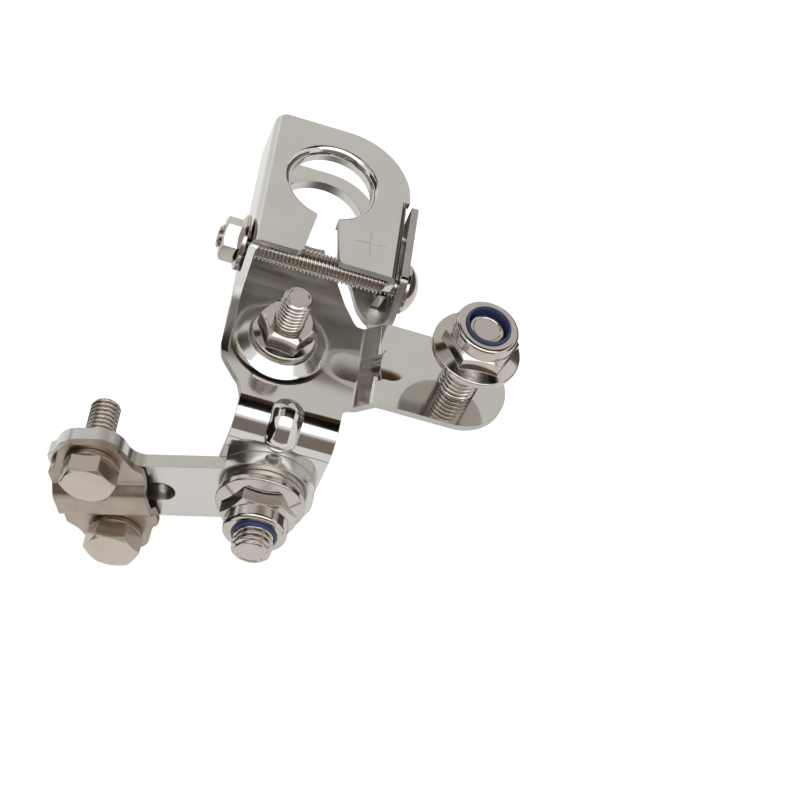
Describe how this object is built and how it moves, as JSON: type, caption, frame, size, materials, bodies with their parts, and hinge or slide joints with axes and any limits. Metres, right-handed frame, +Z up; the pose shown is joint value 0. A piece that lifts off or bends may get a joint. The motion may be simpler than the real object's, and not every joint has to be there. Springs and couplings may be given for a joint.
{
  "type": "battery terminal clamp",
  "caption": "Folded sheet clamp for a tapered battery post, with threaded studs for cable lugs, a stepped side arm and a swinging link bar that ends in a bolted cable clamp.",
  "frame": {"origin": "on the battery post's axis, level with the top face of the lower plate, where the lower collar's bore begins", "axes": "+Z up along the post's axis, +X along the clamp bolt towards its domed head, -Y towards the studs"},
  "size_m": [0.0838, 0.0891, 0.0708],
  "materials": {
    "plated_sheet": "bright nickel plating on stamped sheet",
    "plated_bar": "bright nickel plating on bar",
    "fastener_steel": "polished stainless steel",
    "cable_bolt_steel": "satin stainless steel",
    "cover_steel": "satin stainless steel",
    "nylon": "dark blue nylon"
  },
  "bodies": {
    "clamp": {"clamp_body": "plated_sheet", "small_stud": "fastener_steel", "arm_stud": "fastener_steel", "front_stud": "fastener_steel"},
    "clamp_bolt": {"clamp_bolt": "fastener_steel"},
    "clamp_nut": {"clamp_nut": "fastener_steel"},
    "small_nut": {"small_stud_nut": "fastener_steel"},
    "arm_nut": {"arm_nut": "fastener_steel", "arm_nut_ring": "nylon"},
    "link_bar": {"link_bar": "plated_bar"},
    "front_washer": {"front_washer": "fastener_steel"},
    "front_nut": {"front_nut": "fastener_steel", "front_nut_ring": "nylon"},
    "cable_cover": {"cover_plate": "cover_steel", "upper_cable_washer": "cover_steel", "lower_cable_washer": "cover_steel"},
    "upper_cable_bolt": {"upper_cable_bolt": "cable_bolt_steel"},
    "lower_cable_bolt": {"lower_cable_bolt": "cable_bolt_steel"}
  },
  "joints": [
    {"name": "clamp_nut_turn", "type": "hinge", "parent": "clamp", "child": "clamp_nut", "pos_m": [-0.0162, -0.0177, 0.005], "axis": [-1, 0, 0], "range_deg": [0, 720]},
    {"name": "clamp_bolt_slide", "type": "slide", "parent": "clamp", "child": "clamp_bolt", "axis": [1, 0, 0], "range_m": [0, 0.0016]},
    {"name": "small_nut_turn", "type": "hinge", "parent": "clamp", "child": "small_nut", "pos_m": [-0.00295, -0.0357, 0.005], "axis": [0, 0, 1], "continuous": true},
    {"name": "arm_nut_turn", "type": "hinge", "parent": "clamp", "child": "arm_nut", "pos_m": [0.0329, -0.0366, 0.018], "axis": [0, 0, 1], "continuous": true},
    {"name": "link_bar_swing", "type": "hinge", "parent": "clamp", "child": "link_bar", "pos_m": [0.0015, -0.0584, -0.0175], "axis": [0, -1, 0], "range_deg": [-50, 180]},
    {"name": "front_washer_slide", "type": "slide", "parent": "clamp", "child": "front_washer", "axis": [0, -1, 0], "range_m": [0, 0.00375]},
    {"name": "front_nut_turn", "type": "hinge", "parent": "front_washer", "child": "front_nut", "pos_m": [0.0015, -0.065, -0.0175], "axis": [0, -1, 0], "range_deg": [0, 1080]},
    {"name": "cover_slide", "type": "slide", "parent": "link_bar", "child": "cable_cover", "axis": [0, -1, 0], "range_m": [0, 0.006]},
    {"name": "upper_cable_bolt_turn", "type": "hinge", "parent": "cable_cover", "child": "upper_cable_bolt", "pos_m": [-0.03208, -0.065, -0.01987], "axis": [0, -1, 0], "range_deg": [0, 2160]},
    {"name": "lower_cable_bolt_turn", "type": "hinge", "parent": "cable_cover", "child": "lower_cable_bolt", "pos_m": [-0.02337, -0.065, -0.04018], "axis": [0, -1, 0], "range_deg": [0, 2160]}
  ],
  "couplings": [
    {"joint": "clamp_nut_turn", "follows": "clamp_bolt_slide", "rad_per_m": 7853.2},
    {"joint": "front_nut_turn", "follows": "front_washer_slide", "rad_per_m": 5026},
    {"joint": "upper_cable_bolt_turn", "follows": "cover_slide", "rad_per_m": 6282.6},
    {"joint": "lower_cable_bolt_turn", "follows": "cover_slide", "rad_per_m": 6282.6}
  ]
}
